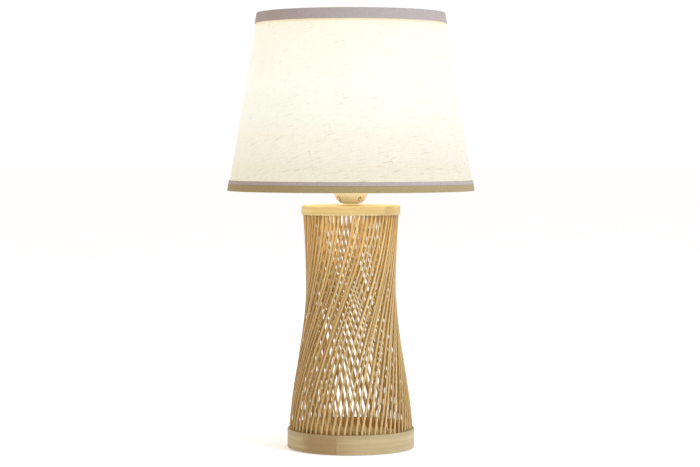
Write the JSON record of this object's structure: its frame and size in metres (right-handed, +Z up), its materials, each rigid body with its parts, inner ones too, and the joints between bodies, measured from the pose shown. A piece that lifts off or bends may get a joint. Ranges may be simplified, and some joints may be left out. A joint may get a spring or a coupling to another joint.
{
  "type": "table lamp",
  "caption": "Table lamp with a waisted openwork body of bent bamboo slats between round hoops, and a tapered linen drum shade on a screw lampholder.",
  "frame": {"origin": "centre of the base's underside, on the surface that the lamp stands on", "axes": "+Z up along the lamp's axis, from the base to the shade; -Y is the front and +Y the back, where the lead's outlet is"},
  "size_m": [0.28, 0.28, 0.491],
  "materials": {
    "bamboo_slat": "split bamboo, satin, uncoated",
    "bamboo_hoop": "bent bamboo strip, clear satin varnish",
    "bamboo_top": "pale bent bamboo, clear satin varnish",
    "plywood": "raw sanded plywood",
    "felt": "pressed felt",
    "black_rubber": "matte",
    "zinc_steel": "zinc plated",
    "brass": "plain",
    "cream_plastic": "satin moulded",
    "porcelain": "unglazed",
    "white_plastic": "satin moulded",
    "opal_plastic": "opal diffuser, lit",
    "dark_glass": "opaque fused glass",
    "white_wire": "white enamel on steel",
    "liner_film": "translucent styrene film",
    "linen": "plain weave with slubs",
    "tape_cloth": "woven binding tape"
  },
  "bodies": {
    "lamp_body": {"base_pad": "felt", "base_disc": "plywood", "base_hoop_outer": "bamboo_hoop", "base_hoop_middle": "bamboo_hoop", "base_hoop_inner": "bamboo_hoop", "cord_bush": "black_rubber", "slats_outer_1": "bamboo_slat", "slats_outer_2": "bamboo_slat", "slats_outer_3": "bamboo_slat", "slats_outer_4": "bamboo_slat", "slats_outer_5": "bamboo_slat", "slats_outer_6": "bamboo_slat", "slats_outer_7": "bamboo_slat", "slats_outer_8": "bamboo_slat", "slats_inner_1": "bamboo_slat", "slats_inner_2": "bamboo_slat", "slats_inner_3": "bamboo_slat", "slats_inner_4": "bamboo_slat", "slats_inner_5": "bamboo_slat", "slats_inner_6": "bamboo_slat", "slats_inner_7": "bamboo_slat", "slats_inner_8": "bamboo_slat", "top_hoop_outer": "bamboo_top", "top_hoop_middle": "bamboo_hoop", "top_hoop_inner": "bamboo_hoop", "top_plate": "bamboo_top", "nipple_washer": "zinc_steel", "nipple_nut": "zinc_steel", "holder_nipple": "zinc_steel", "holder_spacer": "cream_plastic", "holder_cap": "cream_plastic", "holder_barrel": "cream_plastic", "holder_insert": "porcelain", "screw_shell": "brass", "centre_contact": "brass", "terminal_screw_1": "brass", "terminal_screw_2": "brass"},
    "bulb_tip": {"bulb_contact": "zinc_steel"},
    "bulb": {"bulb_insulator": "dark_glass", "bulb_cap": "zinc_steel", "bulb_housing": "white_plastic", "bulb_led_board": "white_plastic", "bulb_globe": "opal_plastic"},
    "shade_fitter": {"fitter_ring": "white_wire"},
    "shade": {"shade_arm_1": "white_wire", "shade_arm_2": "white_wire", "shade_arm_3": "white_wire", "shade_wire_bottom": "white_wire", "shade_wire_top": "white_wire", "shade_liner": "liner_film", "shade_fabric": "linen", "shade_tape_bottom": "tape_cloth", "shade_tape_top": "tape_cloth"},
    "shade_clamp": {"clamp_ring": "cream_plastic"}
  },
  "joints": [
    {"name": "bulb_rise", "type": "slide", "parent": "lamp_body", "child": "bulb_tip", "axis": [0, 0, 1], "range_m": [0, 0.01452]},
    {"name": "bulb_turn", "type": "hinge", "parent": "bulb_tip", "child": "bulb", "pos_m": [0, 0, 0.31], "axis": [0, 0, 1], "range_deg": [0, 1440]},
    {"name": "shade_lift", "type": "slide", "parent": "lamp_body", "child": "shade_fitter", "axis": [0, 0, 1], "range_m": [0, 0.13]},
    {"name": "shade_turn", "type": "hinge", "parent": "shade_fitter", "child": "shade", "pos_m": [0, 0, 0.298], "axis": [0, 0, 1], "continuous": true},
    {"name": "clamp_turn", "type": "hinge", "parent": "shade_fitter", "child": "shade_clamp", "pos_m": [0, 0, 0.303], "axis": [0, 0, 1], "range_deg": [0, 1080]}
  ],
  "couplings": [
    {"joint": "bulb_rise", "follows": "bulb_turn", "m_per_rad": 0.00057751}
  ]
}
